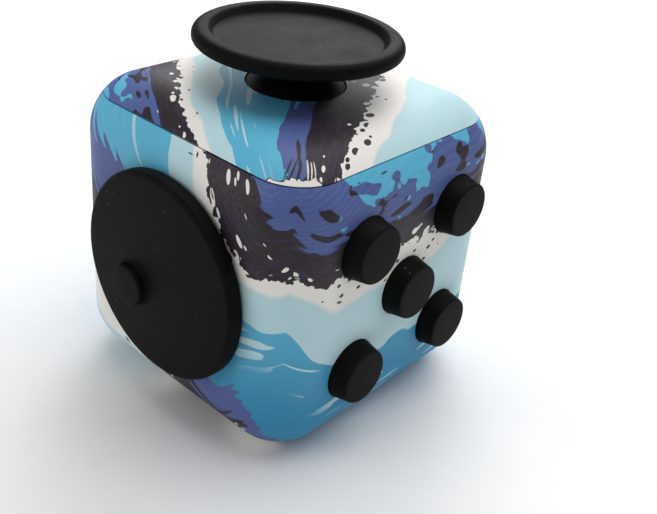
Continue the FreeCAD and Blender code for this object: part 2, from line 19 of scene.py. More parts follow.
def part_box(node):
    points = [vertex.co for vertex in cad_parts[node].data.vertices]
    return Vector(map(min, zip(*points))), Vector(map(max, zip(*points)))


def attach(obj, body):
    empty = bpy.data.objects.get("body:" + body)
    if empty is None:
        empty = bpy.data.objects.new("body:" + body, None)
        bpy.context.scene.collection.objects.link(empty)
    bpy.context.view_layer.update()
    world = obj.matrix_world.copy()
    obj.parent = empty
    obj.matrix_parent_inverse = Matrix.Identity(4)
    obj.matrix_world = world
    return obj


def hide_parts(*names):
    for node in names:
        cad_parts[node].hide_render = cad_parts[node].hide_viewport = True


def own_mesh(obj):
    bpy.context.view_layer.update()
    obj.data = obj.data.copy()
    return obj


bl_info = {
    "name": "Fidget Cube",
    "version": (1, 0, 0),
    "blender": (4, 5, 0),
    "location": "3D View > Sidebar > Fidget Cube",
    "description": "Finishes, fine pieces and stage of a printed fidget cube",
    "category": "Object",
}

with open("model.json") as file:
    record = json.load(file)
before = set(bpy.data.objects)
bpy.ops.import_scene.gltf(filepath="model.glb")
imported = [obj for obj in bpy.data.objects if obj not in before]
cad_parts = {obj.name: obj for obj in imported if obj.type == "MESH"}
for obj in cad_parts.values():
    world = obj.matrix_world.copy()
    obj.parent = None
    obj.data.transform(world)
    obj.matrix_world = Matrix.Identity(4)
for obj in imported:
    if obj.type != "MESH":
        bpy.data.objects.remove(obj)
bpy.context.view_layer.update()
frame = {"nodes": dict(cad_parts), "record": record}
NODES = frame["nodes"]

MM = 0.001
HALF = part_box("lower_shell")[1].x              # half of the cube's edge
EDGE_ROUND = 6.2 * MM                          # rounding of the cube's edges
HALF_MM = HALF / MM
FLAT_MM = (HALF - EDGE_ROUND) / MM             # half of the flat part of a face
LIP = 0.4 * MM                                 # the lower shell's lip stands this far over the seam
SEAM_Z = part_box("lower_shell")[1].z - LIP


def linear(code):
    """A colour code such as 3f4a95 as the linear values that a shader takes."""
    found = []
    for place in (0, 2, 4):
        value = int(code[place:place + 2], 16) / 255
        found.append(value / 12.92 if value <= 0.04045 else ((value + 0.055) / 1.055) ** 2.4)
    return tuple(found)


def colour_property(name, description, code):
    return FloatVectorProperty(name=name, description=description, subtype="COLOR", size=3,
                               min=0.0, max=1.0, default=linear(code))


# ---------------------------------------------------------------- what a user would change
class FidgetPrintSettings(PropertyGroup):
    """The inks of the film print on the two shells, and the darker water of the painted shade low on them."""

    white: colour_property("White", "Bare crest of the waves", "f3efe8")
    light_cyan: colour_property("Light Cyan", "Palest water", "bfdfe6")
    mid_cyan: colour_property("Mid Cyan", "Main water colour", "5dbada")
    # painted shade: the water's darker tone towards the bottom of the cube
    shaded_deep_cyan: colour_property("Deep Cyan", "Water low on the cube", "2a8cb6")
    indigo: colour_property("Indigo", "Deep water colour", "525d98")
    ink: colour_property("Ink", "Brown-black brush strokes", "2c2229")


class FidgetControlSettings(PropertyGroup):
    """The finishes of the controls."""

    soft_black: colour_property("Soft Black", "Soft-touch coating of the controls", "0c0c0b")
    gloss_black: colour_property("Gloss Black", "Moulded dome under the thumb stick", "0c0c10")
    dust: colour_property("Dust", "Specks of dust on the soft-touch coating", "a8a8a4")
    crease_height: FloatProperty(name="Crease Height", description="Height of the film's creases",
                                 default=0.06 * MM, min=0.0, unit="LENGTH")
    film_beads: IntProperty(name="Film Beads", description="Beads of film left along the seam",
                            default=10, min=0, max=60)


class FidgetStageSettings(PropertyGroup):
    """Floor, lights and camera."""

    floor: colour_property("Floor", "Pale floor", "f8f8f8")
    top_power: FloatProperty(name="Top Light", description="Power of the soft light overhead",
                             default=1.3, min=0.0, unit="POWER")
    back_power: FloatProperty(name="Back Light", description="Power of the soft light behind the cube",
                              default=0.35, min=0.0, unit="POWER")
    side_power: FloatProperty(name="Side Light", description="Power of the soft light on the dial's side",
                              default=0.2, min=0.0, unit="POWER")
    sky: FloatProperty(name="Surround", description="Brightness of the pale surroundings",
                       default=0.32, min=0.0)
    distance: FloatProperty(name="Camera Distance", description="From the camera to the point it aims at",
                            default=0.1, min=0.01, unit="LENGTH")
    lens: FloatProperty(name="Lens", description="Focal length", default=50.61, min=1.0, unit="CAMERA")


SETTINGS = {"fidget_print": FidgetPrintSettings, "fidget_controls": FidgetControlSettings,
            "fidget_stage": FidgetStageSettings}


# ---------------------------------------------------------------- numbers that vary over a surface
class Signal:
    """A value in a material's node tree that can be used in sums like a plain number."""

    def __init__(self, tree, socket):
        self.tree = tree
        self.socket = socket

    def maths(self, operation, *others):
        node = self.tree.nodes.new("ShaderNodeMath")
        node.operation = operation
        for socket, value in zip(node.inputs, (self,) + others):
            feed(self.tree, socket, value)
        return Signal(self.tree, node.outputs[0])

    def __add__(self, other):
        return self.maths("ADD", other)

    __radd__ = __add__

    def __sub__(self, other):
        return self.maths("SUBTRACT", other)

    def __rsub__(self, other):
        return (self * -1.0) + other

    def __mul__(self, other):
        return self.maths("MULTIPLY", other)

    __rmul__ = __mul__

    def __truediv__(self, other):
        return self.maths("DIVIDE", other)

    def size(self):
        return self.maths("ABSOLUTE")

    def root(self):
        return self.maths("SQRT")

    def sine(self):
        return self.maths("SINE")

    def at_least(self, low):
        return self.maths("MAXIMUM", low)

    def below(self, limit):
        """1 where the value is under the limit, else 0."""
        return self.maths("LESS_THAN", limit)

    def rise(self, low, high):
        """0 up to low, 1 from high, and a smooth slope between."""
        node = self.tree.nodes.new("ShaderNodeMapRange")
        node.interpolation_type = "SMOOTHSTEP"
        for socket, value in zip(node.inputs, (self, low, high)):
            feed(self.tree, socket, value)
        return Signal(self.tree, node.outputs[0])

    def step(self, edge, soft=0.05):
        """0 before the edge and 1 after it."""
        return self.rise(edge - soft, edge + soft)


def feed(tree, socket, value):
    if isinstance(value, Signal):
        tree.links.new(value.socket, socket)
    else:
        socket.default_value = value


def point(tree, x, y, z):
    node = tree.nodes.new("ShaderNodeCombineXYZ")
    for socket, value in zip(node.inputs, (x, y, z)):
        feed(tree, socket, value)
    return Signal(tree, node.outputs[0])


def clouds(tree, at, grain, detail=2.0, roughness=0.5):
    """Soft noise with features of about one grain, around zero."""
    node = tree.nodes.new("ShaderNodeTexNoise")
    feed(tree, node.inputs["Vector"], at)
    node.inputs["Scale"].default_value = 1.0 / grain
    node.inputs["Detail"].default_value = detail
    node.inputs["Roughness"].default_value = roughness
    return Signal(tree, node.outputs[0]) - 0.5


def spots(tree, at, pitch, size, share):
    """Round spots of up to size across in a share of the cells of one pitch."""
    node = tree.nodes.new("ShaderNodeTexVoronoi")
    feed(tree, node.inputs["Vector"], at)
    node.inputs["Scale"].default_value = 1.0 / pitch
    apart = tree.nodes.new("ShaderNodeSeparateColor")
    tree.links.new(node.outputs["Color"], apart.inputs[0])
    chance, growth = Signal(tree, apart.outputs[0]), Signal(tree, apart.outputs[1])
    reach = (0.35 + growth * 0.65) * (size / pitch / 2)
    return chance.below(share) * (reach - Signal(tree, node.outputs["Distance"])).rise(0.0, 0.03)


def mix(tree, share, under, over):
    """The colour under, covered by the colour over where share is 1."""
    node = tree.nodes.new("ShaderNodeMix")
    node.data_type = "RGBA"
    feed(tree, node.inputs[0], share)
    feed(tree, node.inputs[6], under)
    feed(tree, node.inputs[7], over)
    return Signal(tree, node.outputs[2])


def opaque(colour):
    return (colour[0], colour[1], colour[2], 1.0)


def scaled(colour, factor):
    return opaque([channel * factor for channel in colour])


# ---------------------------------------------------------------- materials
def new_material(name, roughness, specular=0.5, metallic=0.0):
    """A material, its shader, and the place on the part in mm from the middle of the cube."""
    material = bpy.data.materials.new(name)
    material.use_nodes = True
    tree = material.node_tree
    shader = next(node for node in tree.nodes if node.type == "BSDF_PRINCIPLED")
    shader.inputs["Roughness"].default_value = roughness
    shader.inputs["Specular IOR Level"].default_value = specular
    shader.inputs["Metallic"].default_value = metallic
    apart = tree.nodes.new("ShaderNodeSeparateXYZ")
    place = tree.nodes.new("ShaderNodeTexCoord")
    tree.links.new(place.outputs["Object"], apart.inputs[0])
    x, y, z = [Signal(tree, socket) / MM for socket in apart.outputs]
    return material, tree, shader, (x, y, z - HALF_MM)


def relief(tree, shader, height, depth):
    """Bump of the given depth, in metres, from a height between 0 and 1."""
    node = tree.nodes.new("ShaderNodeBump")
    node.inputs["Distance"].default_value = depth
    feed(tree, node.inputs["Height"], height)
    tree.links.new(node.outputs["Normal"], shader.inputs["Normal"])


NEAR_CREST = (1.2, 1.7)                        # flows in mm over which the torn crest turns to water
FAR_TEAR = 19.8                                # flow at the torn edge of the next crest
FAR_CREST = (22.6, 23.0)                       # flows over which that crest turns to water
INK_DEPTH = 2.8                                # how far into the deep colour its ink lies
SCREEN_TURNS = 21.0                            # turns of the printing screen's rows, in radians per mm


class Waves(NamedTuple):
    """How a shell's waves run, in mm except for the patches."""

    flow: object        # across the waves from the torn edge of the crest, less where the bands spread
    drop: object        # across the waves as it is before the bands spread
    along: object       # along the waves
    ink_from: object    # flow at which ink takes over from the deep colour
    pale_to: object     # flow at which pale water ends
    water_to: object    # flow at which water gives way to the deep colour
    patches: object     # how readily patches of water show in the deep colour


def lower_waves(x, y, z):
    """The lower shell's waves, which roll down past the dial and round the front edge."""
    along = x + y
    bend = along + 7.0
    root = (bend * bend + 9.0).root()
    crest = 4.2 + 0.8 * (root - bend) + 0.12 * (along - 10.0).at_least(0.0)
    fall = 0.8 * (bend / root - 1.0)
    far_side = 0.4 * (x - y - 2 * HALF_MM + along.size())
    drop = (crest - z) / (fall * fall + 1.0).root() - far_side
    spread = 1.0 + 1.2 * along.rise(-5.0, 16.0)
    flow = drop / spread - (1.0 - along.rise(-31.0, -21.0)) * 4.5
    ink_from = 5.1 * along.rise(-8.0, 3.0) + 1.2 * along.rise(5.0, 13.0) - 7.6
    pale_to = 1.1 * along.rise(-10.0, -2.0) + 4.4
    water_to = 6.5 * along.rise(-10.0, -1.0) + 10.8
    patches = (z - 11.6) * 0.075 + along.rise(2.0, 8.0) * 0.42 - along.rise(15.0, 22.0) * 0.18 - 0.38
    return Waves(flow, drop, along, ink_from, pale_to, water_to, patches)


def upper_waves(x, y, z):
    """The upper shell's waves, which run across the top."""
    down = HALF_MM - z
    right = x - down * (0.75 - 0.9 * (x + y).rise(-2.0, 8.0))
    back = y + down * (0.75 * (x + y).rise(-8.0, 4.0) - 0.3)
    near = right * 0.64 + back * 0.77
    far = right * 0.85 + back * 0.52
    share = near.rise(-12.0, 4.0)
    flow = near + share * (far - near) + 11.8
    patches = (-8.2 - flow) * 0.06
    return Waves(flow, flow, back * 0.64 - right * 0.77, -3.0, 4.2, 11.8, patches)


def wave_print(tree, waves, place, depth, height, tear, inks):
    """Bands of wave colours across the flow, with brush strokes, torn edges and splashes, and water darkened
    towards the bottom of the cube as painted shade.
    """
    white, pale, middle, deep, indigo, ink = inks
    flow, drop, along, ink_from, pale_to, water_to, patches = waves
    # the same place drawn out along the waves, for short, long and very long strokes
    slow = point(tree, drop, along / 2.0, depth / 2.0)
    drawn = point(tree, drop, along / 9.0, depth / 9.0)
    streak = clouds(tree, point(tree, drop, along / 15.0, depth / 15.0), 0.62, 0.0)
    # the flow with a torn, a brushed and a gentle edge
    torn = flow + clouds(tree, place, 1.3, 2.0, 0.55) * 2.6
    brushed = flow + clouds(tree, drawn, 0.9, 1.0) * 3.2 + clouds(tree, slow, 3.5) * 1.5
    gentle = flow + clouds(tree, place, 4.0, 0.0) * 1.6
    # the printing screen: rows of fine lines that follow the waves in the stronger inks
    rows = (flow * SCREEN_TURNS + clouds(tree, place, 5.0) * 18.0).sine() * 0.5 + 0.5
    # painted shade: the water darkens to the shaded deep cyan towards the bottom of the cube
    water = mix(tree, height.rise(3.0, -12.0), middle, deep)
    water = mix(tree, rows * 0.08, water, indigo)
    indigo = mix(tree, rows * 0.10, indigo, water)
    ink = mix(tree, clouds(tree, drawn, 0.35, 2.0).rise(-0.02, 0.2) * 0.12, ink, indigo)

    # before the crest: deep colour with patches of water and inlets of ink, then the ink itself
    patch = clouds(tree, slow, 2.4, 1.0) + clouds(tree, place, 0.8, 0.0) * 0.2
    patched = (patch + patches).step(0.0, 0.012)
    colour = mix(tree, patched, indigo, water)
    inlet = clouds(tree, point(tree, drop, along / 3.6, depth / 3.6 + 40.0), 0.95, 0.0)
    inlets = (inlet - (ink_from - flow) * 0.035).step(0.08, 0.012)
    colour = mix(tree, inlets, colour, mix(tree, patched, ink, indigo))
    colour = mix(tree, (brushed - ink_from).step(0.0, 0.2), colour, ink)

    # the crest: white drops in the ink, a torn edge, flecks of ink in the white, then pale water
    drops = (flow - ink_from * 1.1).rise(0.0, 4.5) * 0.6 + flow.rise(-1.4, 0.0) * 0.4
    colour = mix(tree, spots(tree, slow, 1.0, 0.8, drops), colour, white)
    colour = mix(tree, torn.step(0.0), colour, white)
    flecks = spots(tree, slow, 0.72, 0.56, 1.0 - flow.rise(0.3, 1.9))
    colour = mix(tree, flecks * flow.rise(-0.6, -0.4), colour, ink)
    colour = mix(tree, gentle.rise(*NEAR_CREST), colour, pale)

    # water with pale streaks near its shore, then the deep colour and ink again
    shore = brushed * tear + gentle * (1.0 - tear) - pale_to
    colour = mix(tree, shore.step(0.0, 0.03), colour, water)
    inshore = shore.step(0.8, 0.3) * (1.0 - flow.rise(7.5, 10.5))
    colour = mix(tree, (streak - 0.15).step(0.0, 0.01) * inshore, colour, pale)
    beyond = brushed - water_to
    colour = mix(tree, (beyond + streak * 3.0).step(0.0, 0.04), colour, indigo)
    inked = (beyond + streak * 4.0).step(INK_DEPTH, 0.25)
    colour = mix(tree, inked, colour, ink)

    # the next crest
    drops = flow.rise(15.0, 20.2) * 0.6 * inked
    colour = mix(tree, spots(tree, slow, 1.15, 0.85, drops), colour, white)
    colour = mix(tree, torn.step(FAR_TEAR), colour, white)
    flecks = spots(tree, slow, 1.0, 0.95, (1.0 - flow.rise(20.0, 23.0)) * 0.55)
    colour = mix(tree, flecks * flow.step(FAR_TEAR - 0.4, 0.1), colour, ink)
    return mix(tree, gentle.rise(*FAR_CREST), colour, pale)


def bare_pucker(tree, x, y, z, place, colour, white, ink):
    """The print, with the film's bare white where it puckers over the seam at the front corner."""
    over = z - (SEAM_Z / MM - HALF_MM)
    round_corner = (x + y) * 0.22
    pucker = 0.75 - round_corner * round_corner - over + clouds(tree, place, 0.8, 1.0) * 1.1
    pucker = pucker * (x - y).rise(23.0, 25.0) * over.step(0.1, 0.02)
    colour = mix(tree, pucker.step(0.02, 0.02), colour, ink)
    return mix(tree, (pucker - clouds(tree, place, 0.5) * 0.2).step(0.12, 0.03), colour, white)


def printed_shell_material(name, wave_rule, tear, inks):
    """A film print over the outer skin and the bare moulding inside."""
    material, tree, shader, (x, y, z) = new_material(name, 0.5, 0.25)
    place = point(tree, x, y, z)
    white, ink = inks[0], inks[-1]
    colour = wave_print(tree, wave_rule(x, y, z), place, x - y, z, tear, inks)
    colour = bare_pucker(tree, x, y, z, place, colour, white, ink)
    wash = clouds(tree, place, 7.0) * 0.10 + clouds(tree, place, 0.25, 2.0) * 0.08
    colour = mix(tree, wash.at_least(0.0), colour, white)
    colour = mix(tree, (wash * -1.0).at_least(0.0), colour, ink)
    worn = clouds(tree, place, 0.5, 3.0, 0.6)
    # distance out from the cube's inner block, which is the same all over the rounded skin
    out = [(axis.size() - FLAT_MM).at_least(0.0) for axis in (x, y, z)]
    skin = (out[0] * out[0] + out[1] * out[1] + out[2] * out[2]).root()
    film = skin.rise(EDGE_ROUND / MM - 0.6, EDGE_ROUND / MM - 0.35)
    tree.links.new(mix(tree, film, opaque(linear("d8d6d2")), colour).socket, shader.inputs["Base Color"])
    feed(tree, shader.inputs["Roughness"], 0.52 + worn * 0.2)
    relief(tree, shader, 0.5 + clouds(tree, place, 0.12, 2.0) * 0.8, 0.012 * MM)
    shader.inputs["Coat Weight"].default_value = 0.04
    shader.inputs["Coat Roughness"].default_value = 0.35
    return material


def soft_touch_material(name, controls):
    """Soft-touch black with a fine tooth, faint rub marks and a few specks of dust."""
    material, tree, shader, (x, y, z) = new_material(name, 0.55, 0.055)
    place = point(tree, x, y, z)
    rubbed = clouds(tree, place, 2.4, 3.0, 0.6)
    black = scaled(controls.soft_black, 0.75)
    grey = scaled(controls.soft_black, 1.6)
    colour = mix(tree, rubbed.rise(-0.2, 0.3), black, grey)
    colour = mix(tree, clouds(tree, place, 0.09, 1.0).rise(0.0, 0.3) * 0.25, colour, grey)
    dust = spots(tree, place, 0.9, 0.15, 0.4) * 0.6
    colour = mix(tree, dust, colour, opaque(controls.dust))
    tree.links.new(colour.socket, shader.inputs["Base Color"])
    feed(tree, shader.inputs["Roughness"], 0.55 + rubbed * 0.2)
    tooth = clouds(tree, place, 0.07, 2.0, 0.6)
    relief(tree, shader, 0.5 + tooth + dust, 0.01 * MM)
    return material


def gloss_material(name, colour):
    """Smooth black moulding with faint rubbing rings."""
    material, tree, shader, (x, y, z) = new_material(name, 0.36, 0.2)
    place = point(tree, x, y, z)
    rings = ((x * x + y * y).root() * 9.0 + clouds(tree, place, 1.0) * 6.0).sine()
    tree.links.new(mix(tree, clouds(tree, place, 1.5).rise(0.0, 0.4), scaled(colour, 0.8),
                       scaled(colour, 1.6)).socket, shader.inputs["Base Color"])
    feed(tree, shader.inputs["Roughness"], 0.36 + clouds(tree, place, 0.6, 3.0) * 0.12)
    relief(tree, shader, 0.5 + rings * 0.1, 0.004 * MM)
    return material


def moulding_material(name):
    """Bare ABS with flow marks from the mould."""
    material, tree, shader, (x, y, z) = new_material(name, 0.42)
    marks = clouds(tree, point(tree, x, y * 0.2, z), 1.6, 4.0, 0.6)
    colour = mix(tree, marks.rise(-0.3, 0.3), opaque(linear("d9d8d3")), opaque(linear("f0efec")))
    tree.links.new(colour.socket, shader.inputs["Base Color"])
    feed(tree, shader.inputs["Roughness"], 0.42 + marks * 0.3)
    relief(tree, shader, 0.5 + clouds(tree, point(tree, x, y, z), 0.15), 0.008 * MM)
    return material


def silicone_material(name):
    """Milky silicone with light scattered inside it."""
    material, tree, shader, (x, y, z) = new_material(name, 0.5, 0.4)
    cloudy = clouds(tree, point(tree, x, y, z), 2.0, 2.0)
    colour = mix(tree, cloudy.rise(-0.3, 0.3), opaque(linear("9c9fa2")), opaque(linear("bcbec0")))
    tree.links.new(colour.socket, shader.inputs["Base Color"])
    feed(tree, shader.inputs["Roughness"], 0.5 + cloudy * 0.2)
    shader.inputs["Subsurface Weight"].default_value = 0.3
    shader.inputs["Subsurface Scale"].default_value = 0.5 * MM
    return material


def steel_material(name, shade, roughness, drawn):
    """Steel whose fine lines lie along x, stretched by the given amount."""
    material, tree, shader, (x, y, z) = new_material(name, roughness, metallic=1.0)
    lines = clouds(tree, point(tree, x / drawn, y, z), 0.12, 3.0, 0.6)
    colour = mix(tree, lines.rise(-0.3, 0.3), scaled(linear(shade), 0.8), opaque(linear(shade)))
    tree.links.new(colour.socket, shader.inputs["Base Color"])
    feed(tree, shader.inputs["Roughness"], roughness + lines * 0.25)
    relief(tree, shader, 0.5 + lines, 0.004 * MM)
    return material


def floor_material(colour):
    """Pale matt paper."""
    material, tree, shader, (x, y, z) = new_material("pale_floor", 0.9, 0.2)
    fibre = clouds(tree, point(tree, x, y, z), 3.0, 3.0)
    shade = mix(tree, fibre.rise(-0.3, 0.3), scaled(colour, 0.985), opaque(colour))
    tree.links.new(shade.socket, shader.inputs["Base Color"])
    return material


MAKERS = {
    "soft_touch": lambda scene: soft_touch_material("soft_touch_black", scene.fidget_controls),
    "gloss_black": lambda scene: gloss_material("gloss_black_dome", scene.fidget_controls.gloss_black),
    "inner_plastic": lambda scene: moulding_material("bare_moulding"),
    "silicone": lambda scene: silicone_material("milky_silicone"),
    "steel": lambda scene: steel_material("plated_steel", "b9bab8", 0.32, 6.0),
    "spring_steel": lambda scene: steel_material("rolled_spring_steel", "c9c8c4", 0.24, 14.0),
    "bright_ball": lambda scene: steel_material("polished_ball_steel", "d5d6d8", 0.08, 1.0),
}


def finish_of(context, slot):
    """The material for one of the part's finishes, made once."""
    if slot not in MAKERS:
        raise ValueError("no finish is made for the material slot " + slot)
    tagged = "finish of " + slot
    for material in bpy.data.materials:
        if material.get("finish") == tagged:
            return material
    material = MAKERS[slot](context.scene)
    material["finish"] = tagged
    return material


def dress(node, material):
    """Give a CAD node one material."""
    slots = NODES[node].material_slots
    if not slots:
        NODES[node].data.materials.append(material)
        return
    for place in slots:
        place.material = material


SLOT_OF_NODE = {row["node"]: row["material_slot"] for row in frame["record"]["subparts"]}


def dress_nodes(context, names):
    for name in names:
        dress(name, finish_of(context, SLOT_OF_NODE[name]))


# ---------------------------------------------------------------- geometry on the cube's skin
def on_skin(place):
    """The nearest point of the cube's rounded skin and the way out there, from a point near it."""
    middle = Vector((0.0, 0.0, HALF))
    inner = HALF - EDGE_ROUND
    local = place - middle
    core = Vector([max(-inner, min(inner, value)) for value in local])
    out = (local - core).normalized()
    return middle + core + out * EDGE_ROUND, out


def on_front_corner(turn, tilt):
    """The point of the ball-shaped front top corner at a turn and a tilt in degrees."""
    turn, tilt = math.radians(turn), math.radians(tilt)
    heart = Vector((HALF - EDGE_ROUND, EDGE_ROUND - HALF, 2 * HALF - EDGE_ROUND))
    out = Vector((math.cos(turn) * math.cos(tilt), math.sin(turn) * math.cos(tilt), math.sin(tilt)))
    return heart + EDGE_ROUND * out


def add_piece(name, mesh, material, body):
    """A finished mesh as a piece that rides on a body."""
    bmesh.ops.recalc_face_normals(mesh, faces=mesh.faces[:])
    made = bpy.data.meshes.new(name)
    mesh.to_mesh(made)
    mesh.free()
    for face in made.polygons:
        face.use_smooth = True
    made.materials.append(material)
    piece = bpy.data.objects.new(name, made)
    bpy.context.scene.collection.objects.link(piece)
    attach(piece, body)
    return piece


def rounded(corners, steps=8):
    """An outline of (radius, height) points from corners (radius, height, rounding), all in mm."""
    found = []
    for number, (across, height, rounding) in enumerate(corners):
        corner = Vector((across, height))
        if not rounding:
            found.append(corner)
            continue
        back = (Vector(corners[number - 1][:2]) - corner).normalized()
        ahead = (Vector(corners[number + 1][:2]) - corner).normalized()
        half = back.angle(ahead) / 2
        centre = corner + (back + ahead).normalized() * rounding / math.sin(half)
        start = corner + back * rounding / math.tan(half) - centre
        end = corner + ahead * rounding / math.tan(half) - centre
        for step in range(steps + 1):
            found.append(centre + start.slerp(end, step / steps).normalized() * rounding)
    return found


def add_turned(mesh, outline, place, sides):
    """A solid turned about local z from an outline that starts and ends on the axis."""
    rings = []
    for across, height in outline:
        count = sides if across > 1e-6 else 1
        ring = []
        for turn in range(count):
            angle = 2 * math.pi * turn / sides
            local = Vector((across * math.cos(angle), across * math.sin(angle), height)) * MM
            ring.append(mesh.verts.new(place @ local))
        rings.append(ring)
    for low, high in zip(rings, rings[1:]):
        for turn in range(sides):
            near = (turn + 1) % sides
            corners = [ring[side % len(ring)] for ring, side in
                       ((low, turn), (low, near), (high, near), (high, turn))]
            mesh.faces.new(list(dict.fromkeys(corners)))


def add_sheet(mesh, loops, place, thickness):
    """A flat sheet from its outline and its holes, each a loop of (right, up) points in mm."""
    edges = []
    for loop in loops:
        ring = [mesh.verts.new(place @ (Vector((right, up, 0.0)) * MM)) for right, up in loop]
        edges += [mesh.edges.new(pair) for pair in zip(ring, ring[1:] + ring[:1])]
    filled = bmesh.ops.triangle_fill(mesh, use_beauty=True, use_dissolve=False, edges=edges)
    faces = [item for item in filled["geom"] if isinstance(item, bmesh.types.BMFace)]
    raised = bmesh.ops.extrude_face_region(mesh, geom=faces)
    corners = [item for item in raised["geom"] if isinstance(item, bmesh.types.BMVert)]
    bmesh.ops.translate(mesh, verts=corners, vec=place.to_3x3() @ Vector((0.0, 0.0, thickness * MM)))


def arc(middle, radius, start, sweep, steps):
    """Points (right, up) along an arc, both ends included."""
    found = []
    for step in range(steps + 1):
        angle = start + sweep * step / steps
        found.append((middle[0] + radius * math.cos(angle), middle[1] + radius * math.sin(angle)))
    return found


def mat_outline(side, corner, boss, notch):
    """A square with rounded corners and a notch for a screw boss in the middle of each side."""
    lip = side / 2 - boss
    inner = side / 2 - corner
    start = math.atan2(lip, -math.sqrt(notch * notch - lip * lip))
    quarter = arc((0.0, boss), notch, start, 3 * math.pi - 2 * start, 20)
    quarter += arc((inner, inner), corner, math.pi / 2, -math.pi / 2, 8)
    found = []
    for _ in range(4):
        found += quarter
        quarter = [(up, -right) for right, up in quarter]
    return found


def face_place(middle, right, up):
    """The placing whose local z points out of a face at its middle."""
    out = right.cross(up)
    place = Matrix((right, up, out)).transposed().to_4x4()
    place.translation = middle
    return place


def looking_right(middle):
    """The placing of a piece that is turned about a line along x."""
    return face_place(middle, Vector((0, 1, 0)), Vector((0, 0, 1)))


def middle_of(node):
    low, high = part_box(node)
    return (low + high) / 2


def add_ridge(mesh, path, width, height, sides=8):
    """A low rounded ridge along points of the skin, tapered at both ends and sunk a little."""
    rings = []
    last = len(path) - 1
    for place, start in enumerate(path):
        centre, out = on_skin(start)
        before, after = path[max(place - 1, 0)], path[min(place + 1, last)]
        side = (after - before).cross(out).normalized()
        swell = math.sin(math.pi * (place + 0.35) / (last + 0.7)) ** 0.6
        ring = []
        for turn in range(sides):
            angle = 2 * math.pi * turn / sides
            offset = side * math.cos(angle) * width * swell / 2 + out * math.sin(angle) * height * swell
            ring.append(mesh.verts.new(centre + offset))
        rings.append(ring)
    for low, high in zip(rings, rings[1:]):
        for turn in range(sides):
            near = (turn + 1) % sides
            mesh.faces.new((low[turn], low[near], high[near], high[turn]))
    mesh.faces.new(list(reversed(rings[0])))
    mesh.faces.new(rings[-1])


def curved_path(start, end, bow, count):
    """Points from start to end with a sideways bow."""
    middle = (start + end) / 2 + bow
    found = []
    for place in range(count):
        share = place / (count - 1)
        found.append(start.lerp(middle, share).lerp(middle.lerp(end, share), share))
    return found


# ---------------------------------------------------------------- operators: the pieces
class FIDGET_OT_printed_shells(Operator):
    """Print the waves on the two shells"""

    bl_idname = "fidget.printed_shells"
    bl_label = "Printed Shells"

    def execute(self, context):
        chosen = context.scene.fidget_print
        inks = [opaque(ink) for ink in (chosen.white, chosen.light_cyan, chosen.mid_cyan,
                                        chosen.shaded_deep_cyan, chosen.indigo, chosen.ink)]
        dress("lower_shell", printed_shell_material("lower_shell_print", lower_waves, 0.1, inks))
        dress("upper_shell", printed_shell_material("upper_shell_print", upper_waves, 0.22, inks))
        return {"FINISHED"}


class FIDGET_OT_film_marks(Operator):
    """Add the creases of the film near the top's front corner and the beads along the seam"""

    bl_idname = "fidget.film_marks"
    bl_label = "Film Marks"

    def execute(self, context):
        chosen, controls = context.scene.fidget_print, context.scene.fidget_controls
        draw = random.Random(7)
        # each crease starts just above the seam, at its own turn round the corner
        films = (("film_creases", "creased_film", chosen.white, (-33.0, -29.0, -24.0)),
                 ("film_folds", "ink_film", chosen.ink, (-61.0, -55.0, -46.0, -31.0)))
        for name, film, shade, turns in films:
            creases = bmesh.new()
            for turn in turns:
                rise = draw.uniform(16.0, 26.0)
                lean = draw.uniform(4.0, 9.0)
                path = [on_front_corner(turn + lean * step / 8, 45.5 + rise * step / 8) for step in range(9)]
                add_ridge(creases, path, draw.uniform(0.14, 0.26) * MM, controls.crease_height)
            add_piece(name, creases, film_material(film, opaque(shade)), "case")
        beads = bmesh.new()
        for number in range(controls.film_beads):
            side = number % 2
            way = (draw.uniform(-0.6, 0.6) if side else draw.uniform(0.1, 0.6)) * HALF
            place = Vector((HALF, way, SEAM_Z)) if side else Vector((way, -HALF, SEAM_Z))
            along = Vector((0.0, 1.0, 0.0)) if side else Vector((1.0, 0.0, 0.0))
            length = draw.uniform(0.2, 0.7) * MM
            rise = Vector((0.0, 0.0, draw.uniform(-0.05, 0.12) * MM))
            add_ridge(beads, curved_path(place - along * length / 2, place + along * length / 2, rise, 6),
                      draw.uniform(0.1, 0.26) * MM, 0.05 * MM)
        add_piece("seam_film_beads", beads, bpy.data.materials["ink_film"], "case")
        return {"FINISHED"}


def film_material(name, colour):
    """Thin print film standing off the shell."""
    material, tree, shader, (x, y, z) = new_material(name, 0.4, 0.45)
    cloudy = clouds(tree, point(tree, x, y, z), 0.3, 2.0)
    shade = mix(tree, cloudy.rise(-0.25, 0.25), scaled(colour, 0.8), colour)
    tree.links.new(shade.socket, shader.inputs["Base Color"])
    feed(tree, shader.inputs["Roughness"], 0.4 + cloudy * 0.3)
    return material


class FIDGET_OT_thumb_stick(Operator):
    """Finish the thumb stick, its dome and its bearing"""

    bl_idname = "fidget.thumb_stick"
    bl_label = "Thumb Stick"

    def execute(self, context):
        dress_nodes(context, ("stick_dome", "glide_ring", "stick_seat", "stick_seat_screws",
                              "stick_spring", "stick_washer", "stick_screw"))
        low, high = [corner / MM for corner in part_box("stick_cap")]
        foot, top, rim = low.z, high.z, high.x
        outline = rounded((
            (0.0, foot + 2.4, 0), (0.75, foot + 2.4, 0), (0.75, foot, 0), (3.0, foot, 0),
            (3.0, top - 1.95, 1.0), (8.6, top - 1.85, 1.2), (rim, top - 1.45, 0.55),
            (rim, top - 0.02, 0.85), (9.1, top - 0.02, 0.5), (8.5, top - 0.82, 0.35), (0.0, top - 0.88, 0)))
        cap = bmesh.new()
        add_turned(cap, outline, Matrix.Identity(4), 192)
        piece = add_piece("thumb_disc", cap, finish_of(context, "soft_touch"), "stick")
        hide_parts("stick_cap")
        return {"FINISHED"}


